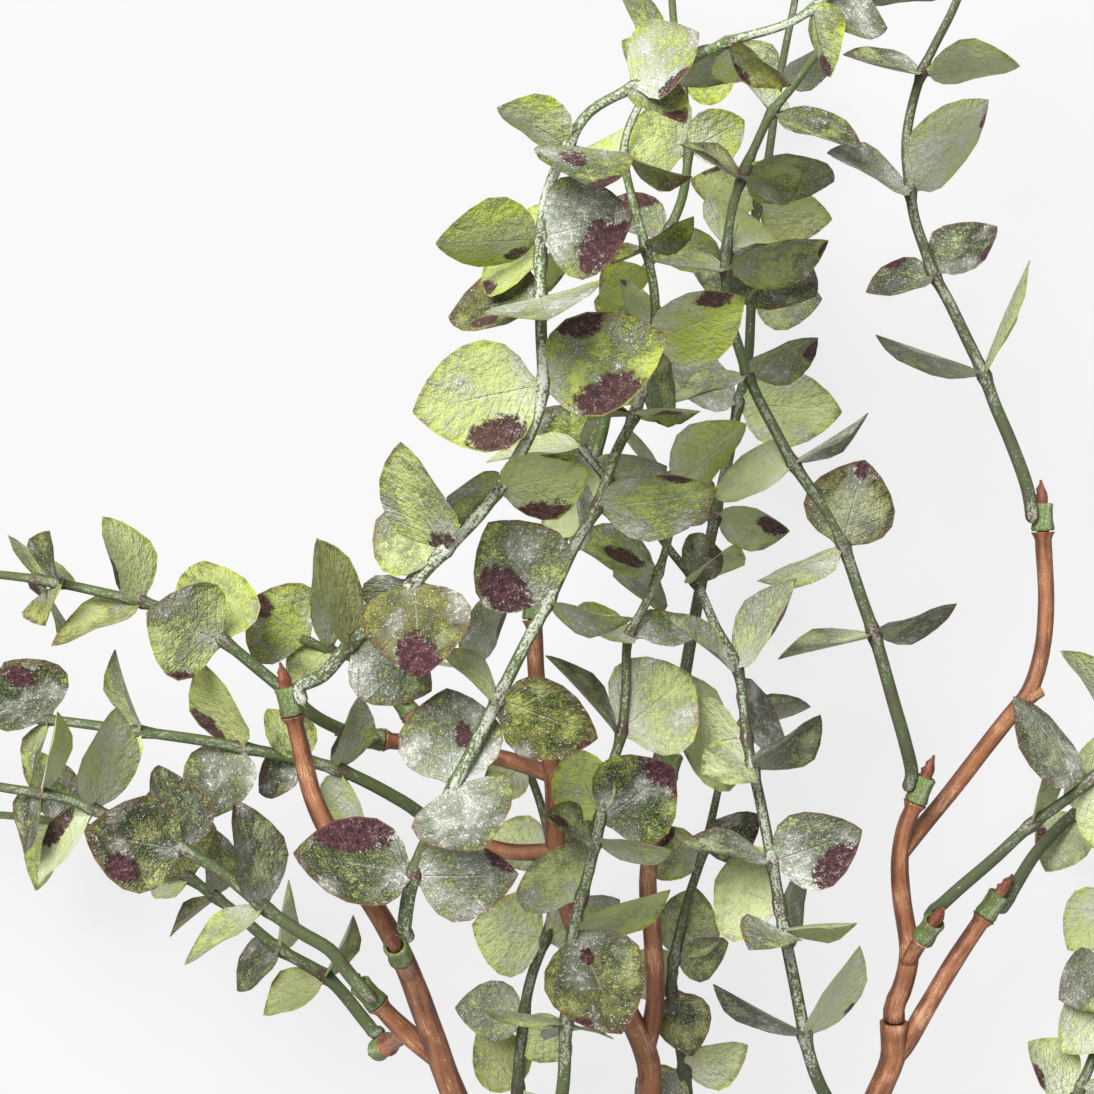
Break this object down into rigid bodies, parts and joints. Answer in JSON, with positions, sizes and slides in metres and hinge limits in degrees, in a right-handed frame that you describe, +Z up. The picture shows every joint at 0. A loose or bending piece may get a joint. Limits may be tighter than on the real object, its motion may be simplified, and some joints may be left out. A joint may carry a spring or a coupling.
{
  "type": "artificial eucalyptus branch",
  "caption": "Forked brown twigs carrying leafy shoots of round opposite leaves, each shoot pushed on a peg, lying on a surface as greenery for an arrangement.",
  "frame": {"origin": "bottom centre of the bounding box, on the surface the branch lies on", "axes": "+Z up from the surface, +Y from the cut butt towards the tips, +X to the right of the picture"},
  "size_m": [0.3952, 0.515, 0.1927],
  "materials": {
    "twig": "reddish-brown moulded bark with lighter lengthwise streaks",
    "foliage": "grey-green moulded leaves with pale powder, purple blotches and yellow-green rims"
  },
  "bodies": {
    "root": {"trunk": "twig", "twig_left": "twig", "twig_middle": "twig", "twig_right": "twig", "twig_right_upper": "twig", "shoot_front_tall": "foliage", "shoot_front_crossing": "foliage", "shoot_centre": "foliage", "shoot_right_centre": "foliage", "shoot_right": "foliage", "shoot_far_right": "foliage", "shoot_right_low": "foliage", "shoot_right_high": "foliage", "shoot_lower_left": "foliage", "shoot_lower_left_back": "foliage", "shoot_left": "foliage", "shoot_upper_left": "foliage", "shoot_left_short": "foliage", "shoot_back_centre": "foliage", "shoot_back_right": "foliage", "shoot_back_low": "foliage", "shoot_back_low_right": "foliage", "shoot_corner": "foliage"}
  },
  "joints": []
}
